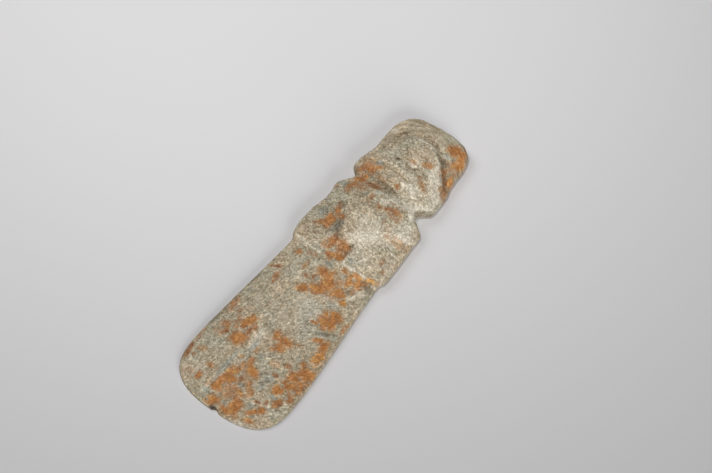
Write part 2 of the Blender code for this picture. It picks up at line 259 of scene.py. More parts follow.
def front_height(x, y, from_edge):
    """Height of the front of the stone at a place that is from_edge inside the outline."""
    blade = lens(x, y, smooth(BLADE_SPINE, y), smooth(BLADE_RIM, y), LOW_FLATNESS)
    figure = with_neck_and_face(with_crest(chest_and_wings(x, y), x, y), x, y)
    height = blade + (figure - blade) * ease(0.5 + above(BELT, x, y) / smooth(BELT_SLOPE, x))
    height = with_fine_cuts(height, x, y)
    reach = np.clip(from_edge / np.minimum(EDGE_ROUND, height), 0, 1)
    worn = WALL_SHARE + (1 - WALL_SHARE) * np.sqrt(1 - (1 - reach) ** 2)
    sawn = SAWN_FOOT + (1 - SAWN_FOOT) * np.clip(from_edge / SAWN_WIDTH, 0, 1)
    return height * (worn + (sawn - worn) * smooth(SAWN_NOTCH, y) * ease(x / RIGHT_HALF))


# Its skin: a fine triangle net over the front, an upright wall round it with a worn lower arris, and a
# plainer flat back that was only ground
FRONT_PITCH, BACK_PITCH = 0.35, 0.5
RIM_RINGS = (0.12, 0.3, 0.52, 0.8, 1.1)  # how far inside the outline each ring of points runs
RING_MARGIN = 0.9  # least distance from the outline, as a share of the ring's own
RING_ROOM = 0.35  # least distance from the other points, as a share of the pitch
# From the top of the wall to the back, as (share of the wall's height, how far in)
WALL_STEPS = ((0.78, 0.03), (0.55, 0.1), (0.33, 0.28), (0.14, 0.55))
FOOT_INSET = 0.85
NET_HALF_WIDTH = 20.0
ROUND_POINTS, FLANK_STEP = 400, 0.05  # how finely the outline is read before it is stepped off
WELD = 1e-5


def side(stations, crown_squareness):
    """Points up one side, from the middle of the cutting edge to the middle of the crown, x positive."""
    turn = np.linspace(0, math.pi / 2, ROUND_POINTS)
    edge_x = stations[0][1] * np.sin(turn) ** (2 / EDGE_SQUARENESS)
    edge_y = EDGE_TOP - (LENGTH / 2 + EDGE_TOP) * np.cos(turn) ** (2 / EDGE_SQUARENESS)
    flank_y = np.arange(EDGE_TOP, CROWN_BASE, FLANK_STEP)
    crown_x = stations[-1][1] * np.cos(turn) ** (2 / crown_squareness)
    crown_y = CROWN_BASE + (LENGTH / 2 - CROWN_BASE) * np.sin(turn) ** (2 / crown_squareness)
    return (np.concatenate([edge_x, smooth(stations, flank_y), crown_x]),
            np.concatenate([edge_y, flank_y, crown_y]))


def outline():
    """Closed outline seen from the front, anticlockwise from the middle of the cutting edge."""
    right_x, right_y = side(RIGHT_SIDE, RIGHT_CROWN_SQUARENESS)
    left_x, left_y = side(LEFT_SIDE, LEFT_CROWN_SQUARENESS)
    x = np.concatenate([right_x, -left_x[::-1]])
    y = np.concatenate([right_y, left_y[::-1]])
    y = np.where(y < EDGE_TOP, y + groove(x - EDGE_CHIP_X, *EDGE_CHIP), y)
    y = np.where(y > CROWN_BASE, y - groove(x - CROWN_DIP_X, *CROWN_DIP), y)
    run = np.hypot(np.diff(x, append=x[0]), np.diff(y, append=y[0])) / FRONT_PITCH
    walked = np.concatenate([[0.0], np.cumsum(run)])
    stops = np.linspace(0, walked[-1], int(round(walked[-1])), endpoint=False)
    return np.stack([np.interp(stops, walked, np.append(x, x[0])),
                     np.interp(stops, walked, np.append(y, y[0]))], 1)


def inset(loop, distance):
    """The loop moved inwards by a distance."""
    along = np.roll(loop, -1, 0) - np.roll(loop, 1, 0)
    along /= np.linalg.norm(along, axis=1)[:, None]
    return loop + distance * np.stack([-along[:, 1], along[:, 0]], 1)


def inside(loop, x, y):
    """Whether each place lies inside the loop: a line from it crosses the loop an odd number of times."""
    crossings = np.zeros(x.shape, dtype=int)
    for (ax, ay), (bx, by) in zip(loop, np.roll(loop, -1, 0)):
        if ay != by:
            crossings += ((ay > y) != (by > y)) & (x < ax + (y - ay) * (bx - ax) / (by - ay))
    return crossings % 2 == 1


def lattice(pitch):
    """Places in rows, each row set half a pitch off the one before."""
    rows = []
    y = -LENGTH / 2
    while y < LENGTH / 2:
        x = np.arange(-NET_HALF_WIDTH, NET_HALF_WIDTH, pitch) + pitch / 2 * (len(rows) % 2)
        rows.append(np.stack([x, np.full(x.shape, y)], 1))
        y += pitch * math.sqrt(0.75)
    return np.concatenate(rows)


def with_room(places, taken_places, room):
    """Which places are farther than room from all the taken ones."""
    taken = KDTree(len(taken_places))
    for i, place in enumerate(taken_places):
        taken.insert((*place, 0.0), i)
    taken.balance()
    return np.array([taken.find((*place, 0.0))[2] > room for place in places])


def free_places(loop, places, margin):
    """Which places lie inside the loop and farther than the margin from it."""
    return inside(loop, *places.T) & (distance_to(loop, *places.T, closed=True) > margin)


def net(loop, rings, pitch):
    """Places and triangles that fill the loop, and which of the places are the loop's own."""
    kept = [tuple(place) for place in loop]
    for ring in rings:
        places = inset(loop, ring)
        free = free_places(loop, places, ring * RING_MARGIN) & with_room(places, kept, RING_ROOM * pitch)
        kept += [tuple(place) for place in places[free]]
    places = lattice(pitch)
    margin = (rings[-1] if rings else 0.0) + pitch / 2
    kept += [tuple(place) for place in places[free_places(loop, places, margin)]]
    places, _, faces, origins, _, _ = delaunay_2d_cdt(
        [Vector(place) for place in kept], [], [list(range(len(loop)))], 1, WELD)
    vertex_of = {origin[0]: i for i, origin in enumerate(origins) if origin and origin[0] < len(loop)}
    return (np.array([tuple(place) for place in places]), np.array(faces),
            np.array([vertex_of[i] for i in range(len(loop))]))


def stone_mesh():
    """The whole skin of the stone as one closed mesh, in metres."""
    loop = outline()
    count = len(loop)
    front, front_faces, rim = net(loop, RIM_RINGS, FRONT_PITCH)
    height = front_height(*front.T, distance_to(loop, *front.T, closed=True))
    layers = [np.column_stack([front, height])]
    rows = [rim]
    total = len(front)
    for share, how_far in WALL_STEPS:
        layers.append(np.column_stack([inset(loop, how_far), share * height[rim]]))
        rows.append(total + np.arange(count))
        total += count
    back, back_faces, back_rim = net(inset(loop, FOOT_INSET), (), BACK_PITCH)
    layers.append(np.column_stack([back, np.zeros(len(back))]))
    rows.append(total + back_rim)
    faces = [front_faces, total + back_faces[:, ::-1]]
    for upper, lower in zip(rows, rows[1:]):
        after_upper, after_lower = np.roll(upper, -1), np.roll(lower, -1)
        faces.append(np.column_stack([after_upper, upper, lower]))
        faces.append(np.column_stack([after_upper, lower, after_lower]))
    mesh = bpy.data.meshes.new("axe_god_pendant_stone")
    mesh.from_pydata(np.concatenate(layers) * MM, [], np.concatenate(faces).tolist())
    mesh.shade_smooth()
    return mesh


# The iron in the ground has stained it in orange-brown patches.  Each stain is (x, y, half length, half
# width, strength, tone), and its turn in degrees if it has one.  Strength 1 covers the stone, and less lets
# it show through; tone 0 is red-brown, and 1 is yellow-orange.
RUST = (
    # crest and face
    (8.6, 54, 2.7, 2, 1, 0.3), (11.2, 53.6, 1.6, 2.2, 1, 0.4), (12.4, 50.8, 2.4, 1.3, 0.95, 0.5, 80),
    (11, 49.4, 1, 1.2, 0.95, 0.7), (10, 46.4, 1.4, 1.4, 0.75, 0.1), (13.2, 44.4, 2.4, 1.1, 0.95, 0.65, -70),
    (11.4, 44, 3.6, 1.6, 0.5, 0.1, -55), (13.6, 40.6, 2.8, 1.3, 0.6, 0.15, -65),
    (11.2, 48, 5, 2.6, 0.35, 0.3, -75), (10.4, 57.4, 1.8, 0.8, 0.6, 0.2, -35),
    (5.4, 43.5, 1.7, 1.2, 0.6, 0.5, 40), (1.2, 41.4, 1.8, 0.8, 0.45, 0.6), (3.4, 45.4, 3.4, 2.6, 0.2, 0.5),
    (6.2, 38, 0.9, 0.8, 0.55, 0.15), (7.6, 36.6, 1.3, 0.8, 0.6, 0.2, -40), (9.2, 35.4, 0.8, 0.6, 0.4, 0.2),
    (-9.6, 33, 2.5, 2.1, 0.78, 0.25, 20), (-6.8, 33, 2.6, 1, 0.75, 0.4, 38),
    (-11, 31.2, 1.9, 1.2, 0.78, 0.15, 10), (-9.2, 34.2, 3.8, 2.4, 0.4, 0.4),
    (-7.6, 31.4, 1.4, 0.8, 0.7, 0.3), (2.2, 31.2, 0.8, 0.7, 0.75, 0.6), (-3.4, 31, 1.8, 0.6, 0.4, 0.1),
    (-12.6, 36, 1.6, 2, 0.2, 0.4),
    # neck and chest
    (-9, 27.8, 3.2, 1.8, 0.85, 0.35, 88), (-4.2, 27.4, 2.6, 1.8, 0.68, 0.15),
    (-9.8, 24.2, 2.4, 1.3, 0.75, 0.2, 84), (-7.4, 25.6, 3.6, 1.6, 0.55, 0.15),
    (6.5, 25.6, 3.2, 0.6, 0.35, 0.1, 5), (6.6, 23.8, 2.8, 1, 0.75, 0.15, 5),
    (4.2, 22.7, 1.1, 0.7, 0.8, 0, 10), (7.2, 22.4, 2.8, 1.5, 0.45, 0.2), (2.2, 22, 1.4, 1, 0.75, 0),
    (2.6, 20.8, 1.6, 0.8, 0.35, 0), (-1.8, 23.6, 0.9, 1.2, 0.7, 0.05), (-1.4, 21.4, 0.8, 0.6, 0.4, 0),
    (-14, 22.5, 1.1, 0.7, 0.5, 0), (-8.6, 16.9, 1.6, 0.7, 0.45, 0, -20),
    (-8.3, 14.9, 1.7, 0.9, 0.75, 0.25, -45), (-5.4, 13.2, 1.5, 0.8, 0.75, 0.1, -25),
    (-8.5, 10.6, 2.7, 1.7, 0.88, 0.35, 90), (-11, 8.4, 2.2, 1.2, 0.62, 0.25, 35),
    (-13.2, 6, 2.4, 2.6, 0.25, 0.1), (-9.4, 5.4, 2, 1.2, 0.3, 0.05), (12.6, 16.8, 3.4, 1.4, 0.4, 0.55, 15),
    (8, 18.4, 1.8, 1.3, 0.3, 0.3), (13.1, 8.8, 0.9, 1.3, 0.55, 0), (15.9, 8, 0.9, 5, 0.25, 0.3),
    (15.3, 6.2, 0.9, 0.8, 0.55, 0.05), (14.4, 5.6, 0.8, 0.6, 0.5, 0), (1, 18.4, 3, 2, 0.15, 0.5),
    # tail and belt
    (-3.1, 5.6, 2.2, 1.7, 0.8, 0.2, 80), (0.4, 5.3, 2.4, 2.3, 0.74, 0.35),
    (1.6, 2.6, 1.6, 1.3, 0.9, 0.5, 30), (-1.6, 1.6, 1.7, 1.1, 0.8, 0.25), (-4.2, 3.8, 1.8, 1.7, 0.55, 0.35),
    (-0.8, 0.4, 0.9, 0.7, 0.5, 0.2), (14, 2, 1.9, 0.7, 1, 0.9, 20), (9.7, 0.3, 1.5, 0.8, 0.95, 0.6),
    (7.6, -0.6, 1.2, 0.7, 0.6, 0.5, 20), (5.6, -0.3, 1.1, 0.9, 0.85, 0.3), (8.7, -3, 0.9, 2.4, 1, 0.6),
    (11.2, -1.2, 1.5, 1.4, 0.75, 0.45), (12.2, 0.2, 1.8, 0.7, 0.5, 0.4, 10), (6.6, -4.2, 1.5, 1.8, 0.5, 0.4),
    (-6, -1.2, 2.4, 0.9, 0.4, 0.05),
    # upper blade
    (-10.2, -3, 1.2, 1.1, 0.95, 0.4), (0.3, -4.6, 1.9, 1.7, 1, 0.45), (3.6, -6.3, 3.7, 2.3, 1, 0.45, 90),
    (2, -10, 2.6, 1.4, 1, 0.45, 10), (2.4, -11.5, 1.5, 0.7, 0.7, 0.2, 10),
    (-1.4, -12.3, 1.9, 1.4, 1, 0.25, 25), (-2.6, -13.8, 0.9, 0.6, 0.5, 0.6),
    (8.3, -7.3, 2.2, 1.7, 0.85, 0.45, 5), (6.2, -7.6, 1.3, 2.6, 0.55, 0.4), (11.2, -9.1, 1.2, 1, 0.95, 0.4),
    (7.6, -10.4, 1.1, 0.8, 0.5, 0.3, 30), (11.2, -4.2, 1, 1.5, 0.4, 0.2),
    (-12.9, -10.6, 1.9, 0.55, 0.95, 0, 22), (-10.7, -13.7, 2.1, 1, 0.75, 0.15, 95),
    (-10.3, -15.4, 0.6, 0.6, 0.8, 0.6), (-3.2, -8.5, 1.1, 1, 0.6, 0), (-5.4, -5.6, 0.8, 1.8, 0.55, 0.35),
    (-0.8, -7.4, 0.8, 1.3, 0.6, 0), (11.9, -14.6, 2.4, 2.8, 1, 0.35), (10.8, -17.2, 3.2, 2.5, 1, 0.4),
    (8.4, -19.2, 1.5, 0.6, 0.9, 0.3, 15), (9.4, -15.2, 1.2, 1.5, 0.9, 0.4),
    (16.3, -14.8, 0.6, 2.4, 0.6, 0.25), (12.6, -23.2, 2.7, 0.8, 0.8, 0.35, 28),
    (14.9, -23.6, 1.5, 2.3, 1, 0.45), (15.7, -27.9, 1.6, 2.7, 1, 0.65), (9, -28.2, 1.8, 0.5, 0.5, 0.3, 15),
    (-15.6, -27.8, 1, 3, 0.65, 0.3), (-12.4, -28.8, 0.8, 1.4, 0.5, 0.1, -20), (-6, -20, 9, 7, 0.14, 0.4, 80),
    # middle of the blade
    (1.4, -29.3, 1.1, 1.7, 0.95, 0.25, 10), (5.1, -29.6, 2.7, 1.5, 1, 0.4), (4.8, -32, 1.8, 1.8, 0.9, 0.4),
    (3.3, -33.8, 1.1, 0.8, 0.7, 0.4, 40), (-7.6, -30, 1.9, 2.2, 1, 0.5), (-8.6, -32.2, 1.2, 1.6, 1, 0.35),
    (-6.1, -32.6, 0.9, 2, 0.85, 0.1, 10), (-7.3, -36.7, 2.6, 2.5, 1, 0.4),
    (-5.2, -31, 0.7, 1.2, 0.85, 0, 20), (-10.4, -33, 1.5, 2.6, 0.5, 0.3), (-13.2, -35, 2, 1.4, 0.7, 0.25),
    (-12.2, -37.2, 1.7, 0.9, 1, 0, 45), (-13.4, -37.4, 2.5, 2.4, 0.35, 0.25),
    (-11.1, -30.9, 1, 0.9, 0.5, 0.3), (-0.4, -36.6, 0.9, 1.4, 0.45, 0.55), (13.8, -32, 1.4, 1.1, 0.7, 0.3),
    (16, -34.4, 2.4, 2.4, 1, 0.4), (17.6, -33.6, 0.8, 2, 1, 0.5), (13.3, -37.1, 1.9, 2, 0.95, 0.45),
    (16.6, -38.8, 1.7, 3.2, 0.8, 0.2), (14.1, -40.4, 2.7, 1.8, 1, 0.35), (12.3, -43.2, 2, 1.5, 1, 0.4, 30),
    (16.2, -43, 1.6, 1.5, 0.8, 0.3), (17.3, -39.9, 0.7, 0.7, 1, 0.8), (10.3, -35.4, 1.1, 0.9, 0.65, 0.1),
    (9, -39.9, 0.9, 0.6, 0.7, 0, 10), (6.9, -37.1, 1.7, 1.1, 0.45, 0.6),
    # lower blade
    (0.4, -40.8, 1.1, 1.8, 0.85, 0.4), (2.9, -43.1, 2.5, 1.4, 0.95, 0.45, -8),
    (-0.6, -43.2, 1.5, 1.5, 0.6, 0.4), (-3, -41.2, 0.9, 0.8, 0.55, 0.6), (1.4, -46.6, 1, 1.1, 0.8, 0),
    (-1.9, -46.1, 2, 1.7, 1, 0.55, 60), (-1.4, -48.4, 2.5, 1.5, 1, 0.4, 10),
    (-3.3, -50.2, 2.3, 1.6, 1, 0.4, 70), (-3.5, -52.6, 2.4, 1.6, 1, 0.4, 10),
    (1.8, -51.2, 3.8, 3, 0.55, 0.4), (4.4, -46.8, 1.1, 1.6, 0.75, 0.3, 20), (3.2, -45.6, 2.6, 1.8, 0.5, 0.4),
    (6, -48.4, 1.2, 1.7, 0.7, 0.45, 20), (3.4, -51, 2, 1.6, 0.75, 0.5), (5.3, -53.6, 2.3, 1.7, 1, 0.35, -15),
    (5, -55.4, 1.8, 1.3, 0.95, 0.45), (3, -57.2, 2, 1.2, 1, 0.5), (6.4, -56.8, 1.8, 1.4, 0.5, 0.4),
    (-1.6, -56.4, 2, 1.4, 1, 0.45, 15), (-2.8, -57.9, 1.3, 0.7, 0.7, 0.5),
    (10.1, -53.2, 2.4, 0.9, 1, 0.35, 45), (12.2, -51.2, 1.5, 1.1, 1, 0.3, 45),
    (10.6, -55.8, 2.1, 0.9, 0.75, 0.5, 12), (14.6, -46.3, 2, 1.3, 0.85, 0.15, 70),
    (12, -48.2, 0.6, 1, 0.7, 0), (-17.6, -47.8, 0.9, 3, 0.75, 0.1, 8),
    (-17.8, -41.6, 0.6, 2.8, 0.5, 0.05, 3), (-9.9, -52.9, 1, 1.3, 0.85, 0.35),
    (-8.8, -48.4, 1.2, 0.9, 0.6, 0.55), (-15.4, -48.2, 0.7, 0.7, 0.6, 0),
    (-14.2, -45.4, 1.7, 1, 0.5, 0.6, 10), (-13.6, -53.4, 2.4, 1.7, 0.3, 0.4, -20),
    (9.6, -49.7, 1, 0.5, 0.7, 0.1, 10),
)

# The flat back lay in the same ground
RUST_BEHIND = (
    (16.4, -36, 2.4, 6, 0.9, 0.4), (11, -40, 4, 2.2, 0.8, 0.4, 30), (4, -56.4, 4.6, 2.2, 0.95, 0.4),
    (-17, -47, 1.6, 3.4, 0.8, 0.2), (-10.6, 30.4, 3, 3.4, 0.9, 0.3), (11.6, 50.6, 2.2, 5, 0.9, 0.5),
    (15, 2.6, 2.6, 1.4, 0.9, 0.6, 10), (-6, -14, 4.4, 3, 0.8, 0.4, 40), (-1, -21, 3, 1.8, 0.6, 0.3),
    (3, 12, 5, 2.4, 0.8, 0.4, 60), (6.6, 19, 2, 1.4, 0.6, 0.2), (-8, -36, 2.6, 4, 0.7, 0.5, 20),
    (0, 44, 3.4, 1.8, 0.5, 0.3, -20), (8.6, -12, 2.4, 1.6, 0.6, 0.3),
)

# Pale: skin polished or rubbed by handling, white minerals, and painted highlight on some slopes and rims
# that face the lamps.  Each patch is (x, y, half length, half width, strength), and its turn; a long thin
# one is a painted highlight along the crisp edge of a step.
PALE = (
    # crest and face
    (-11.4, 49.2, 1.6, 0.8, 0.9, 50), (-1.4, 50.2, 2.9, 0.55, 1, 3), (-7, 41, 5.4, 5, 0.3),
    (2.4, 50.4, 2, 0.5, 0.8, -8), (2.4, 55, 4.5, 1.2, 0.25), (3, 46.4, 4.6, 2.6, 0.45),
    (2.2, 42.2, 2.6, 2.4, 0.65), (9.3, 42, 4.6, 2.4, 0.85, -54), (11, 39.4, 4, 1.9, 0.55, -60),
    (12.8, 36.4, 2.4, 2, 0.7), (6.2, 37.4, 2, 1.8, 0.4), (13.4, 33.6, 1.8, 1.6, 0.6),
    (1.8, 40.2, 1.5, 0.9, 0.7), (7, 33.2, 4.4, 2.2, 0.75), (10.7, 28.6, 0.5, 2.4, 1.2, 20),
    (1, 36.6, 5, 1, 0.3),
    # neck and chest
    (7, 28.2, 5.6, 2.2, 0.95), (11.4, 26.4, 3, 1.2, 0.7, -55), (2.6, 24.4, 1.7, 1.1, 0.8),
    (1.6, 15.6, 5.2, 4.6, 0.5), (5.6, 12.8, 5, 2.8, 0.8, 30), (3.4, 9.2, 4.4, 1.8, 0.9, 35),
    (8.8, 18.6, 5, 3, 0.5), (13.2, 18.6, 3.6, 1.2, 1.1, 30), (12.8, 22, 3, 2.4, 0.7),
    (-9.6, 19.2, 1.4, 1.1, 0.6), (-3, 20, 2.6, 2, 0.2), (11.2, 14.6, 3.4, 0.8, 0.6, 38),
    (8.2, 6, 4.6, 3.6, 0.5), (6.6, 0.9, 3.6, 0.32, 1.3, 6), (11.6, 1.5, 2.6, 0.3, 1.3, 12),
    (7.9, 5.2, 2.8, 0.3, 1, 65), (13.8, 13, 2.2, 0.35, 0.9), (14.2, 9.8, 1.6, 3, 0.5),
    (12, 15.8, 2.6, 1.8, 0.5), (15.9, 7, 0.9, 5, 0.6), (-12.4, 1, 3.2, 0.6, 0.6, -12),
    (-7.4, 0.2, 3.2, 0.35, 0.8, -6), (-6.6, 2.4, 2.2, 1, 0.5), (-5.4, 6.8, 1.4, 0.8, 0.4),
    # blade
    (13, -4, 3.2, 1.1, 0.7, 48), (15.8, -8.4, 0.5, 0.4, 1), (-7.4, -15.4, 5.4, 4, 0.25),
    (4.4, -16.6, 6.4, 3.8, 0.65), (2, -24, 7, 4, 0.4), (-2.2, -34, 1.8, 5, 0.75), (-2.6, -43, 1.6, 2.4, 0.5),
    (6, -43, 1.8, 1.6, 0.35), (14, -50, 2.4, 2.4, 0.4), (-5.6, -8, 3, 3, 0.35), (-8.4, -33.9, 0.6, 0.6, 1),
    (-6.6, -32.1, 0.5, 0.7, 1), (7.2, -37, 1.2, 0.8, 1), (4, -42.4, 0.8, 0.6, 0.9),
    (-0.5, -43.8, 0.6, 0.5, 0.9), (11.9, -53.5, 0.6, 0.4, 1, 40), (-9.4, -49.4, 0.6, 0.5, 0.8),
    (9.4, -57.4, 4.4, 1.2, 0.4, 25), (-12.6, -51.4, 4.4, 4, 0.5), (-8, -23, 6, 5, 0.25),
    (6.6, -10.9, 2.6, 0.8, 0.8, 8), (12.4, -6.6, 1.8, 0.7, 0.55, 60), (-5.2, -52.4, 4, 0.8, 0.5, 80),
    (-3.6, -54.4, 3, 0.6, 0.6, 25),
)

# Dirt and painted shade: brown and grey-brown soil that stays in the low places, and painted shade in
# grooves, the drilled eyes, under the jaw, in the chip of the cutting edge, along the blade's side walls and
# on left-facing slopes of the figure
DIRT_AND_SHADE = (
    # crest and face
    (-3.4, 53.4, 4.4, 0.9, 0.5, 5), (-5.6, 48.8, 2.6, 1.8, 0.5), (2, 52.8, 5.4, 1.8, 0.35),
    (-0.4, 48.6, 3, 1.2, 0.3), (-13.6, 46.4, 1.6, 4, 0.35), (-7.6, 50.7, 2.2, 0.45, 1.1, 46),
    (-2.4, 44.4, 2.8, 0.4, 0.4, 52), (1.2, 46.9, 1.8, 0.4, 0.4, 15), (8.2, 48.6, 1.9, 1.3, 1.1),
    (9.4, 45.4, 2.4, 0.9, 0.3, -52), (12.5, 43.2, 4, 1.5, 0.85, -52), (13.9, 39.4, 2.4, 0.9, 0.3, -58),
    (12.6, 47, 1.1, 0.8, 0.8, 90), (-3.1, 39.5, 1.4, 1.2, 0.7), (3.6, 39.5, 1.4, 1.1, 0.6),
    (-10.4, 44.6, 4.6, 1.6, 0.45, 80), (-8, 46.2, 2.2, 2.2, 0.45), (-12.4, 33.4, 2.4, 2.6, 0.4),
    (-1.4, 33.2, 4, 1.4, 0.35), (-5.4, 31.6, 3.6, 0.8, 0.6), (-6, 38.6, 2.4, 1.6, 0.2),
    # neck and chest
    (-1, 29.7, 4.6, 1, 1, -3), (8, 29.4, 4.6, 1.2, 0.35), (-6.4, 30.6, 3, 1, 0.6), (2, 30.2, 3.2, 0.5, 0.3),
    (-12.4, 29.6, 1.4, 1.6, 1.1, 30), (-6.8, 24.2, 4, 2.4, 0.55), (-10.6, 22.6, 2.4, 3.4, 0.5),
    (-3.6, 20.8, 5.4, 3.4, 0.4), (-8.2, 17.4, 2, 1.4, 0.7), (-6.2, 12.6, 2.4, 1.3, 0.7, -50),
    (-5.2, 10.4, 3, 1.9, 1.5, -55), (-10.6, 13.4, 3.4, 2.4, 0.65, -60), (-8.6, 9.6, 2.8, 2.6, 0.9),
    (-13.8, 12.6, 4.6, 2.4, 0.3, 90), (3.4, 5.6, 2.6, 0.5, 0.9, 80), (-2.6, 8, 2.4, 0.8, 0.4),
    (12.4, -0.4, 2.6, 1.3, 0.9, 10), (14.8, -0.8, 1.4, 1.2, 0.7), (-1.8, -1.2, 3, 1.2, 0.5),
    # blade
    (4, -7.8, 2.4, 2.2, 0.2), (12.8, -20.6, 2.2, 0.9, 0.6, 20), (12.8, -27.4, 2.4, 2.8, 0.5),
    (14, -31.4, 2, 1.6, 0.5), (-6.6, -34, 2.4, 3.4, 0.25), (9, -26.2, 3.4, 1.4, 0.2, 30),
    (0.1, -58.5, 1.5, 0.7, 2.4), (-2.4, -51, 2, 1.6, 0.3), (6.4, -3.6, 1.8, 1.6, 0.3),
    (-17.6, -50.8, 1, 1.2, 0.8), (-17.2, -46, 1, 4.4, 0.2), (-17.2, -33, 0.9, 7.5, 0.8, -5),
    (-16.2, -19, 0.9, 8, 0.65, -5), (9, -32.5, 1.9, 1.3, 0.3, 10), (8.2, -49.2, 2.4, 2, 0.25),
    (17.2, -20, 0.8, 6, 0.45, 4), (17.9, -33, 0.8, 7, 0.5, 4), (18.5, -44, 0.8, 4, 0.45, 4),
)

# Cool: places where the grey-green stone shows bluer, mostly round the stains
COOL = (
    (7.8, 50.8, 2.4, 0.8, 1, 5), (8.8, 47.8, 0.9, 0.7, 0.8), (11, 42.6, 0.8, 0.8, 0.8),
    (12.5, 47.2, 0.8, 0.6, 0.7), (-7.2, 35.4, 1.6, 0.9, 1, 15), (-13.2, 23.8, 2, 1.4, 0.9),
    (-4, 23.7, 1.2, 1.2, 0.7), (-1, 26, 1.5, 0.9, 0.7), (-12, 12.4, 1.5, 2.4, 0.9), (-5, 10, 1.5, 3, 1, -20),
    (-13.8, 16.8, 1.4, 1.2, 0.6), (-2, 3.2, 0.8, 0.7, 0.8), (-3.7, 1.2, 0.9, 0.7, 0.8),
    (5.3, 3, 1.4, 1, 0.8), (13.7, 11.7, 0.9, 1.2, 0.5), (0.2, -1.4, 2.4, 0.9, 0.7), (0.3, -7.3, 0.7, 1, 0.9),
    (6.4, -2.8, 0.8, 2, 0.6), (9.7, -11.7, 2.6, 1.1, 0.9, 5), (12.6, -20.8, 2.2, 1, 0.9, 20),
    (15.6, -19.6, 1, 1.4, 0.6), (-1.8, -36, 0.9, 2.2, 0.9), (1.9, -37.7, 1, 1, 0.8), (8, -41.8, 2, 1.4, 0.7),
    (12.5, -41, 0.8, 0.6, 0.9), (15.6, -43.4, 1, 0.8, 0.9), (12.8, -45.8, 1.2, 0.8, 0.9),
    (2.5, -48.6, 1.1, 1, 0.9), (7.4, -45, 2, 2, 0.6), (8.8, -52, 1.6, 1.6, 0.6), (1.6, -55.2, 0.9, 0.8, 0.8),
    (6, -17.6, 5.5, 5.6, 0.55), (7.4, -24.6, 5, 3, 0.45), (-8, -20, 5, 8, 0.2), (-5, -46.5, 8.5, 1, 0.8, 88),
    (-5.2, -55.2, 1.8, 1, 0.7), (11.6, -31.6, 1.4, 1.8, 0.6), (-12, -40.8, 4, 2, 0.4),
)

STAIN_PULL = 0.4  # how far a weak stain gives way to a strong one beside it
STAIN_MEETING = 9.0  # how sharply one stain takes over from the next
PATCH_FALL = 0.9  # how steeply a soft patch fades outwards
BACK_REACH = 0.05  # skin this near the sheet belongs to the back
BACK_PALE, BACK_DIRT = 0.25, 0.2
SMOOTHING_ROUNDS = 14
NOTCH_Y, NOTCH_SIDE = 29.5, 0.4  # middle of the neck's notches, and how much painted shade and earth their walls keep
BLADE_WALL_SHADE = 0.3  # how much of the walls' painted shade and earth the blade's right wall keeps; above the belt the right wall has none
# How strong the painted highlight on the sawn notch's lip and the painted shade on its wall are
LIP_HIGHLIGHT, NOTCH_WALL_SHADE = 1.3, 0.6
BLADE_ROUGH, BACK_ROUGH, HEAD_GROUND = 0.35, 0.3, 0.2


def from_middle(x, y, middle_x, middle_y, half_length, half_width, turn=0.0):
    """Distance from the middle of an oval patch, 1 on its rim."""
    c, s = math.cos(math.radians(turn)), math.sin(math.radians(turn))
    along = ((x - middle_x) * c + (y - middle_y) * s) / half_length
    across = ((y - middle_y) * c - (x - middle_x) * s) / half_width
    return np.hypot(along, across)


def stained(listed, x, y):
    """How far inside its stain each place is (1 in the middle, 0 on the rim), its strength and tone."""
    levels = np.array([1 - from_middle(x, y, *stain[:4], *stain[6:]) for stain in listed])
    strengths, tones = np.array([stain[4:6] for stain in listed]).T
    reach = levels + STAIN_PULL * (strengths[:, None] - 1)
    near = np.exp(STAIN_MEETING * (reach - reach.max(axis=0)))
    total = near.sum(axis=0)
    return (levels * near).sum(axis=0) / total, strengths @ near / total, tones @ near / total


def spread(listed, x, y):
    """Soft patches laid over each other: 1 in the middle of a full one, 0 away from them all."""
    bare = np.ones(x.shape)
    for patch in listed:
        out = from_middle(x, y, *patch[:4], *patch[5:])
        bare *= 1 - patch[4] * np.exp(-PATCH_FALL * out ** 3)
    return 1 - bare


def read(mesh, what):
    """The places or the normals of all the vertices, a row for each."""
    flat = np.empty(len(mesh.vertices) * 3)
    mesh.vertices.foreach_get(what, flat)
    return flat.reshape(-1, 3)


def hollowness(mesh):
    """How far the skin lies below its smoothed self, in millimetres: over 0 in grooves, under on ridges."""
    places = read(mesh, "co") / MM
    count = len(places)
    ends = np.empty(len(mesh.edges) * 2, dtype=int)
    mesh.edges.foreach_get("vertices", ends)
    one, other = ends.reshape(-1, 2).T
    degree = np.bincount(ends, minlength=count)
    smoothed = places.copy()
    for _ in range(SMOOTHING_ROUNDS):
        for axis in range(3):
            total = np.bincount(one, smoothed[other, axis], count)
            total += np.bincount(other, smoothed[one, axis], count)
            smoothed[:, axis] = 0.5 * smoothed[:, axis] + 0.5 * total / degree
    return ((smoothed - places) * read(mesh, "normal")).sum(1)


def between(value, none, full):
    """0 where the value is at none, 1 where it is at full, with a soft S between."""
    return ease((value - none) / (full - none))


pendant_mesh = stone_mesh()
px, py, pz = read(pendant_mesh, "co").T / MM
from_edge = distance_to(outline(), px, py, closed=True)
on_back = pz < BACK_REACH
on_right = ease(px / RIGHT_HALF)
notch = smooth(SAWN_NOTCH, py) * on_right


def keep(name, values):
    """Stores one number for each vertex, for the material and the weathering to read."""
    stored = pendant_mesh.attributes.new(name, "FLOAT", "POINT")
    stored.data.foreach_set("value", values.astype(np.float32))


stains = zip(stained(RUST, px, py), stained(RUST_BEHIND, px, py))
for name, (on_front_value, on_back_value) in zip(("rust", "rust_strength", "rust_tone"), stains):
    keep(name, np.where(on_back, on_back_value, on_front_value))
keep("behind", on_back)
keep("cool", np.where(on_back, 0.0, spread(COOL, px, py)))
# How hollow the skin lies, which the material reads to paint shade in grooves and highlight on ridges
keep("hollow", hollowness(pendant_mesh) * between(from_edge, 0.3, 1.8))
keep("crest", np.where(on_back, 0.0, between(above(FACE_EDGE, px, py), 0.5, 2.5)))
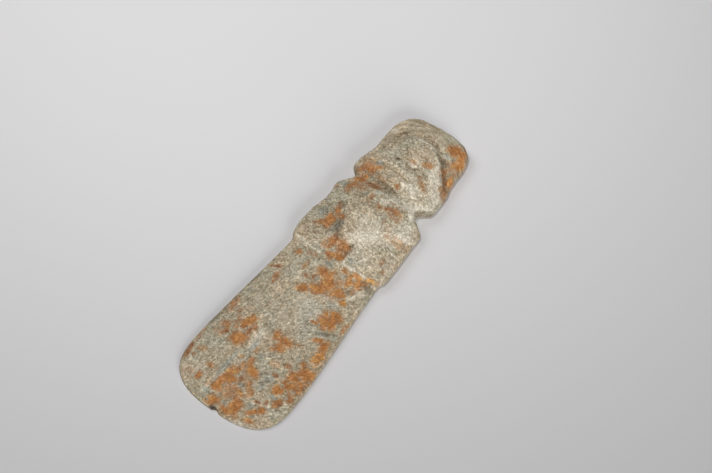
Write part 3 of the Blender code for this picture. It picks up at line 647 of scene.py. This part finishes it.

# The upright walls are darkened with painted shade and some earth, but less so in the notches of the neck
# and on the right.  The sawn notch has a painted highlight on its lip over painted shade on its wall.
upright = between(np.abs(read(pendant_mesh, "normal")[:, 2]), 0.7, 0.2)
away_from_notch = NOTCH_SIDE + (1 - NOTCH_SIDE) * between(np.abs(py - NOTCH_Y), 1.5, 4.5)
spared_right_walls = on_right * (1 - BLADE_WALL_SHADE * between(py, 4.0, 0.0))
# Painted highlight along the sawn notch's crisp lip
lip = notch * between(from_edge, SAWN_WIDTH - 0.35, SAWN_WIDTH - 0.15)
lip = lip * between(from_edge, SAWN_WIDTH + 0.8, SAWN_WIDTH + 0.4)
# Painted shade on the sawn notch's wall
sawn_wall = notch * between(from_edge, SAWN_WIDTH, SAWN_WIDTH - 0.3)
keep("side", upright * away_from_notch * (1 - spared_right_walls))
keep("pale", np.where(on_back, BACK_PALE, spread(PALE, px, py)) + LIP_HIGHLIGHT * lip)
keep("dirt", np.where(on_back, BACK_DIRT, spread(DIRT_AND_SHADE, px, py)) + NOTCH_WALL_SHADE * sawn_wall)

# The figure was pecked; the blade and the back were ground smoother, and the head a little
rough = BLADE_ROUGH + (1 - BLADE_ROUGH) * between(py, -0.5, 2.5) - HEAD_GROUND * between(py, 30.0, 32.0)
keep("rough", rough * (BACK_ROUGH + (1 - BACK_ROUGH) * between(pz, 0.0, 0.6)))


class Field:
    """A value that varies over the stone.  Sums, products and the like add Math nodes."""

    def __init__(self, socket):
        self.socket = socket

    def math(self, operation, *others):
        """Adds a Math node."""
        inputs = dict(enumerate((self, *others)))
        return Recipe(self.socket.id_data).node("ShaderNodeMath", {"operation": operation}, inputs)

    def __add__(self, other):
        return self.math("ADD", other)

    def __sub__(self, other):
        return self.math("SUBTRACT", other)

    def __mul__(self, other):
        return self.math("MULTIPLY", other)

    def __pow__(self, other):
        return self.math("POWER", other)

    def __rsub__(self, other):
        return self * -1.0 + other

    __radd__ = __add__
    __rmul__ = __mul__

    def between(self, none, full):
        """0 where the value is at none, 1 where it is at full, with a soft S between."""
        return Recipe(self.socket.id_data).node(
            "ShaderNodeMapRange", {"interpolation_type": "SMOOTHSTEP"},
            {"Value": self, "From Min": none, "From Max": full})

    def swing(self, amount):
        """The value of a cloudy noise, made to swing both ways about 0."""
        return (self - 0.5) * amount


class Recipe:
    """A node tree in the making."""

    def __init__(self, tree):
        self.tree = tree

    def node(self, kind, settings=None, inputs=None, output=0):
        """Adds a node, its settings first and then its sockets, and gives one output, or those listed."""
        made = self.tree.nodes.new(kind)
        for name, value in (settings or {}).items():
            if name == "stops":
                ramp = made.color_ramp
                while len(ramp.elements) < len(value):
                    ramp.elements.new(1.0)
                for element, (position, colour) in zip(ramp.elements, value):
                    element.position = position
                    element.color = (*colour, 1.0)
            else:
                setattr(made, name, value)
        for name, value in (inputs or {}).items():
            socket = made.inputs[name]
            if isinstance(value, Field):
                self.tree.links.new(value.socket, socket)
            elif socket.type == "RGBA":
                socket.default_value = (*value, 1.0)
            else:
                socket.default_value = value
        if isinstance(output, tuple):
            return [Field(made.outputs[name]) for name in output]
        return Field(made.outputs[output]) if made.outputs else None

    def blend(self, share, first, second, mode="MIX"):
        """Mixes two colours."""
        settings = {"data_type": "RGBA", "blend_type": mode, "clamp_factor": True}
        return self.node("ShaderNodeMix", settings, {0: share, 6: first, 7: second}, output=2)


def paint(red, green, blue):
    """A colour given as 0 to 255 in the usual way, as the linear values that a shader takes."""
    return tuple(((c / 255 + 0.055) / 1.055) ** 2.4 for c in (red, green, blue))


# Its colours
WARM_STONE, GREEN_STONE = paint(190, 169, 142), paint(178, 171, 150)
BUFF_GRAIN, GREEN_GRAIN, BROWN_GRAIN = paint(200, 186, 161), paint(166, 168, 148), paint(172, 144, 102)
# The rubbed colour is also a painted highlight on crisp edges and lit slopes
RUBBED_AND_HIGHLIGHT, BLUISH = paint(226, 217, 198), paint(156, 160, 151)
# Soil colours that also stand for painted shade in grooves and low places; the wall colour is painted shade
# with some earth
SOIL_AND_SHADE, DARK_SOIL_AND_SHADE, WALL_SHADE_AND_EARTH = paint(118, 104, 82), paint(56, 50, 42), paint(112, 92, 66)
RUST_WASH = paint(178, 141, 98)
RUST_TONES = ((0.0, paint(142, 90, 54)), (0.3, paint(164, 108, 56)), (0.55, paint(184, 119, 56)),
              (0.75, paint(196, 140, 74)), (1.0, paint(228, 172, 98)))

# What the grains do to the colour under them, from the darkest grain to the lightest
GRAIN_TINTS = ((0.1, (0.4, 0.35, 0.28)), (0.35, (0.78, 0.75, 0.69)), (0.54, (1.0, 1.0, 0.99)),
               (0.74, (1.32, 1.32, 1.31)), (0.9, (1.9, 1.9, 1.86)))
RUST_GRAIN_TINTS = ((0.1, (0.7, 0.68, 0.65)), (0.5, (1.0, 1.0, 1.0)), (0.9, (1.35, 1.36, 1.42)))

GRAIN_SIZE, GRAIN_BEND, BEND_SIZE = 0.5 * MM, 0.45 * MM, 0.6 * MM
CROWN_CENTRE = (0.0, 40.0 * MM, 0.0)  # the grinding marks of the crest run round it
CROWN_SQUEEZE, CROWN_LENGTH = 2.2, 4.0 * MM
BACK_SQUEEZE = (1.6, 0.07, 1.0)  # the marks of the back run up and down
RUB_LEFT, RUB_RIGHT = 82.0, 47.0  # directions of the marks on the blade, in degrees
RUB_STRETCH = 3.2
BUMP_STRENGTH, BUMP_DEPTH = 0.5, 0.12 * MM

stone = bpy.data.materials.new("worn_rust_stained_stone")
stone.use_nodes = True
stone.node_tree.nodes.clear()
r = Recipe(stone.node_tree)
place = r.node("ShaderNodeTexCoord", output="Object")


def noise(size, seed, detail=3.0, roughness=0.6, at=place):
    """Cloudy noise whose blots are about size millimetres across."""
    return r.node("ShaderNodeTexNoise", {"noise_dimensions": "4D"}, {
        "Vector": at, "W": seed, "Scale": 1 / (size * MM), "Detail": detail, "Roughness": roughness})


def attribute(name):
    """A number kept for each vertex."""
    return r.node("ShaderNodeAttribute", {"attribute_name": name}, output="Fac")


def vector(operation, *parts, output=0):
    """Adds a Vector Math node."""
    return r.node("ShaderNodeVectorMath", {"operation": operation}, dict(enumerate(parts)), output)


def ramp(stops, at):
    """The colour of a place in a row of colours."""
    return r.node("ShaderNodeValToRGB", {"stops": stops}, {"Fac": at})


def drawn_out(degrees):
    """The place, turned and squeezed so that noise read there is drawn out along one direction."""
    return r.node("ShaderNodeMapping", {"vector_type": "TEXTURE"}, {
        "Vector": place, "Rotation": (0.0, 0.0, math.radians(degrees)), "Scale": (RUB_STRETCH, 1.0, 1.0)})


# The mineral grains: cells of about half a millimetre, bent out of true, each with its own lightness
bend = r.node("ShaderNodeTexNoise", {"noise_dimensions": "3D"},
              {"Vector": place, "Scale": 1 / BEND_SIZE, "Detail": 2.0}, output="Color")
bent = vector("MULTIPLY_ADD", bend, (GRAIN_BEND,) * 3, place)
grain = r.node("ShaderNodeTexVoronoi", {"feature": "F1"}, {"Vector": bent, "Scale": 1 / GRAIN_SIZE},
               output="Color")
lightness, hue = r.node("ShaderNodeSeparateColor", {}, {"Color": grain}, output=("Red", "Green"))

broad = noise(size=9.0, seed=1.0, roughness=0.5)
middling = noise(size=2.6, seed=2.0, roughness=0.5)
small = noise(size=0.9, seed=6.0, detail=2.0)
fine = noise(size=0.36, seed=3.0, detail=2.0)
ragged = middling.swing(1.2) + small.swing(1.3)

# What use and the soil have done to the stone, with painted light: ridges painted paler and grooves painted
# darker, by how hollow the skin lies
crest, behind, hollow = attribute("crest"), attribute("behind"), attribute("hollow")
# Rubbed skin, white minerals and painted highlight
pale = (attribute("pale") + hollow * -2.2 + ragged * 0.35 - 0.06).between(0.0, 1.0)
cool = (attribute("cool") + ragged * 0.4).between(0.2, 0.9)
# Soil and painted shade, painted deeper in the grooves
dirt = attribute("dirt") + hollow * 0.7 + ragged * 0.4
# Upright walls: painted shade with some earth
wall_shade_and_earth = (attribute("side") + ragged * 0.5).between(0.1, 0.9)

# The bare stone, and what lies over it in turn, as (how much of it, its colour); the rubbed, soil and wall
# layers also carry painted highlight and painted shade
ground = r.blend(broad.between(0.38, 0.62), WARM_STONE, GREEN_STONE)
for share, colour in (
        (middling.between(0.4, 0.7) * 0.5, BUFF_GRAIN),
        (hue.between(0.0, 1.0) * 0.4, GREEN_GRAIN),
        (hue.between(0.7, 0.9) * 0.4, BROWN_GRAIN),
        (pale * 0.85, RUBBED_AND_HIGHLIGHT),
        (cool * 0.75, BLUISH),
        (dirt.between(0.1, 1.0) * 0.75, SOIL_AND_SHADE),
        (dirt.between(1.1, 2.0) * 0.9, DARK_SOIL_AND_SHADE),
        (wall_shade_and_earth * 0.65, WALL_SHADE_AND_EARTH)):
    ground = r.blend(share, ground, colour)

# The crest keeps the long fine marks of its grinding, and the back has plain ones
from_centre = vector("SUBTRACT", place, CROWN_CENTRE)
outwards = vector("LENGTH", from_centre, output="Value")
centre_x, centre_y = r.node("ShaderNodeSeparateXYZ", {}, {0: from_centre}, output=("X", "Y"))
round_crown = centre_x.math("ARCTAN2", centre_y)
crown_place = r.node("ShaderNodeCombineXYZ", {}, {
    "X": outwards * CROWN_SQUEEZE, "Y": round_crown * CROWN_LENGTH})
streak = noise(size=1.1, seed=9.0, at=crown_place)
scratch = noise(size=0.9, seed=12.0, at=vector("MULTIPLY", place, BACK_SQUEEZE))

# The blade was rubbed up and down on the left and slantwise on the right
across, up = r.node("ShaderNodeSeparateXYZ", {}, {0: place}, output=("X", "Y"))
rub_left = noise(size=0.55, seed=14.0, detail=2.0, at=drawn_out(RUB_LEFT))
rub_right = noise(size=0.55, seed=15.0, detail=2.0, at=drawn_out(RUB_RIGHT))
rub = rub_left + (rub_right - rub_left) * (across + ragged * (4.0 * MM)).between(-3.0 * MM, 5.0 * MM)
blade = up.between(2.0 * MM, -2.0 * MM) * (1 - behind)

# Grains and marks together, each with the weight that it has in its own part of the stone
grains = lightness * (0.66 - blade * 0.14) + fine * 0.5 + small * 0.33 - 0.24
speck = (grains * (1 - crest * 0.55 - behind * 0.35) + blade * (rub * 1.2 - 0.53)
         + crest * (streak * 1.9 - 0.68) + behind * (scratch * 0.9 - 0.36))

# The stains: a thin wash of rust round them, and the crust itself, broken up by the grain
rust, strength = attribute("rust"), attribute("rust_strength")
rust_clouds = noise(size=2.6, seed=8.0, detail=2.0, roughness=0.5)
rust_blots = noise(size=1.2, seed=4.0)
rust_edge = (rust + rust_clouds.swing(1.3) + rust_blots.swing(1.7) + small.swing(0.7) + fine.swing(1.0)
             - cool * 0.7)
wash = (rust + ragged * 0.5).between(-0.9, 0.4) * strength.between(0.1, 1.1)
cover = (strength * 1.12 + (small + fine - 1.0) * 1.5).between(0.05, 1.1)
rusty = rust_edge.between(-0.3, 0.5) * cover
tone_clouds = noise(size=1.7, seed=5.0, roughness=0.5)
rust_tone = attribute("rust_tone") + (tone_clouds - 0.44) * 1.7 + fine.swing(0.4)
crust = r.blend(1.0, ramp(RUST_TONES, rust_tone), ramp(RUST_GRAIN_TINTS, speck), "MULTIPLY")
ground = r.blend(wash * 0.45, ground, RUST_WASH)
ground = r.blend(0.92 - pale * 0.3, ground, ramp(GRAIN_TINTS, speck), "MULTIPLY")

relief = r.node("ShaderNodeBump", {}, {
    "Strength": BUMP_STRENGTH, "Distance": BUMP_DEPTH, "Height": fine * 0.6 + lightness * 0.4})
shader = r.node("ShaderNodeBsdfPrincipled", {}, {
    "Base Color": r.blend(rusty * 0.95, ground, crust),
    "Roughness": 0.8 - lightness * 0.15,
    "Normal": relief,
})
r.node("ShaderNodeOutputMaterial", {}, {"Surface": shader})

# The ground and pecked skin has worn uneven and pitted.  The tree only takes stone away, so the piece
# stays inside the size it was cut to.
WEAR = {
    "Wave Size": 5.0 * MM, "Wave Depth": 0.12 * MM, "Peck Size": 1.5 * MM, "Peck Depth": 0.16 * MM,
    "Pit Spacing": 2.4 * MM, "Pit Radius": 0.75 * MM, "Pit Depth": 0.22 * MM, "Seed": 7.0, "Finish": stone,
}
PECK_SEED_SHIFT = 11.0
PIT_SMALLEST, PIT_RANGE = 0.5, 0.8  # shares of the pit radius
PIT_FLOOR = 0.3  # share of a pit's radius that is at its full depth
BARE_CELLS = 0.45  # share of the cells without a pit

weathering = bpy.data.node_groups.new("weathered_skin", "GeometryNodeTree")
panel = weathering.interface
panel.new_socket("Geometry", in_out="OUTPUT", socket_type="NodeSocketGeometry")
panel.new_socket("Geometry", in_out="INPUT", socket_type="NodeSocketGeometry")
sockets = {}
for title in WEAR:
    kind = "NodeSocketMaterial" if title == "Finish" else "NodeSocketFloat"
    sockets[title] = panel.new_socket(title, in_out="INPUT", socket_type=kind).identifier

g = Recipe(weathering)
titles = ("Geometry", *WEAR)
given = dict(zip(titles, g.node("NodeGroupInput", output=titles)))
spot = g.node("GeometryNodeInputPosition")


def lumps(size, seed_shift, detail):
    """Cloudy noise with lumps of the given size."""
    return g.node("ShaderNodeTexNoise", {"noise_dimensions": "4D"}, {
        "Vector": spot, "W": given["Seed"] + seed_shift, "Scale": size ** -1.0, "Detail": detail})


wave = lumps(given["Wave Size"], 0.0, 1.0).between(0.3, 0.7) * given["Wave Depth"]
peck = lumps(given["Peck Size"], PECK_SEED_SHIFT, 2.0).between(0.35, 0.75) * given["Peck Depth"]
pit_scale = given["Pit Spacing"] ** -1.0
cell, off_middle = g.node("ShaderNodeTexVoronoi", {"voronoi_dimensions": "4D"}, {
    "Vector": spot, "W": given["Seed"], "Scale": pit_scale}, output=("Color", "Distance"))
choice = g.node("FunctionNodeSeparateColor", {}, {"Color": cell})
reach = given["Pit Radius"] * pit_scale * (choice * PIT_RANGE + PIT_SMALLEST)
pit = off_middle.between(reach, reach * PIT_FLOOR) * given["Pit Depth"]
pit = pit * choice.math("GREATER_THAN", BARE_CELLS)
roughness = g.node("GeometryNodeInputNamedAttribute", {"data_type": "FLOAT"}, {"Name": "rough"})
taken = (wave + peck + pit) * roughness
inward = g.node("ShaderNodeVectorMath", {"operation": "SCALE"}, {
    "Vector": g.node("GeometryNodeInputNormal"), "Scale": taken * -1.0})
moved = g.node("GeometryNodeSetPosition", {}, {"Geometry": given["Geometry"], "Offset": inward})
whole = g.node("GeometryNodeRealizeInstances", {}, {"Geometry": moved})
dressed = g.node("GeometryNodeSetMaterial", {}, {"Geometry": whole, "Material": given["Finish"]})
g.node("NodeGroupOutput", {}, {"Geometry": dressed})

blank = bpy.data.objects.new("stone_blank", pendant_mesh)
bpy.context.collection.objects.link(blank)
wear = blank.modifiers.new("weathered_skin", "NODES")
wear.node_group = weathering
for title, value in WEAR.items():
    wear[sockets[title]] = value
settled = bpy.context.evaluated_depsgraph_get()
skin_mesh = bpy.data.meshes.new_from_object(blank.evaluated_get(settled), preserve_all_data_layers=True,
                                            depsgraph=settled)
skin_mesh.name = "axe_god_pendant_stone"
blank.modifiers.clear()
bpy.data.objects.remove(blank)
for vertex in skin_mesh.vertices:
    vertex.co = [min(max(value, low[axis]), high[axis]) for axis, value in enumerate(vertex.co)]

pendant = bpy.data.objects.new("axe_god_pendant_stone", skin_mesh)
bpy.context.collection.objects.link(pendant)
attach(pendant, "root")
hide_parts("axe_god_pendant")

# ------------------------ the sheet it lies on
# A plain sheet of matt pale grey paper, far wider than the stone, lying flat.
SHEET_HALF = 1.5
PAPER_COLOUR, PAPER_ROUGHNESS = (0.80, 0.79, 0.795, 1.0), 0.9

corners = [(x * SHEET_HALF, y * SHEET_HALF, low.z) for x, y in ((-1, -1), (1, -1), (1, 1), (-1, 1))]
sheet_mesh = bpy.data.meshes.new("pale_sheet")
sheet_mesh.from_pydata(corners, [], [(0, 1, 2, 3)])
paper = bpy.data.materials.new("pale_paper")
paper.use_nodes = True
paper_inputs = paper.node_tree.nodes["Principled BSDF"].inputs
paper_inputs["Base Color"].default_value = PAPER_COLOUR
paper_inputs["Roughness"].default_value = PAPER_ROUGHNESS
sheet_mesh.materials.append(paper)
sheet = bpy.data.objects.new("pale_sheet", sheet_mesh)
bpy.context.collection.objects.link(sheet)

# ------------------------ the lights
# A lamp overhead, leaning a little to the left, whose pool of light fades towards the front of the sheet;
# a wide softbox low at the near right; a smaller one at the far left; and a little light from all round.
POOL_RADIUS, POOL_BLEND = 0.25, 0.8
LAMP_POWER, LAMP_SIZE = 16.6, 0.12
LAMP_LEAN, LAMP_LEFT, LAMP_AWAY = 0.2, 0.02, 0.11
# Each softbox is (name, direction, distance, width, power)
SOFTBOXES = (
    ("near_softbox", Vector((1.0, -0.55, 0.42)), 2.0, 1.1, 27.0),
    ("far_softbox", 0.6 * away - 0.8 * rightwards + 0.9 * UPRIGHT, 1.1, 0.55, 4.0),
)
SURROUNDINGS_COLOUR, SURROUNDINGS_STRENGTH = (0.99, 0.98, 1.0, 1.0), 0.06


def hang(light, location, back):
    """Puts a light in its place, shining the opposite way to the direction given."""
    lamp = bpy.data.objects.new(light.name, light)
    lamp.location = location
    lamp.rotation_euler = back.to_track_quat("Z", "Y").to_euler()
    bpy.context.collection.objects.link(lamp)


pool = bpy.data.lights.new("overhead_lamp", "SPOT")
pool.energy = LAMP_POWER
pool.spot_size = 2 * math.atan(POOL_RADIUS)
pool.spot_blend = POOL_BLEND
pool.shadow_soft_size = LAMP_SIZE
overhead = UPRIGHT - LAMP_LEAN * rightwards
hang(pool, camera_aim - LAMP_LEFT * rightwards + LAMP_AWAY * away + overhead.normalized(), overhead)

for title, towards, distance, width, power in SOFTBOXES:
    softbox = bpy.data.lights.new(title, "AREA")
    softbox.energy = power
    softbox.size = width
    hang(softbox, camera_aim + distance * towards.normalized(), towards)

surroundings = bpy.data.worlds.new("surroundings")
surroundings.use_nodes = True
background_inputs = surroundings.node_tree.nodes["Background"].inputs
background_inputs["Color"].default_value = SURROUNDINGS_COLOUR
background_inputs["Strength"].default_value = SURROUNDINGS_STRENGTH
bpy.context.scene.world = surroundings
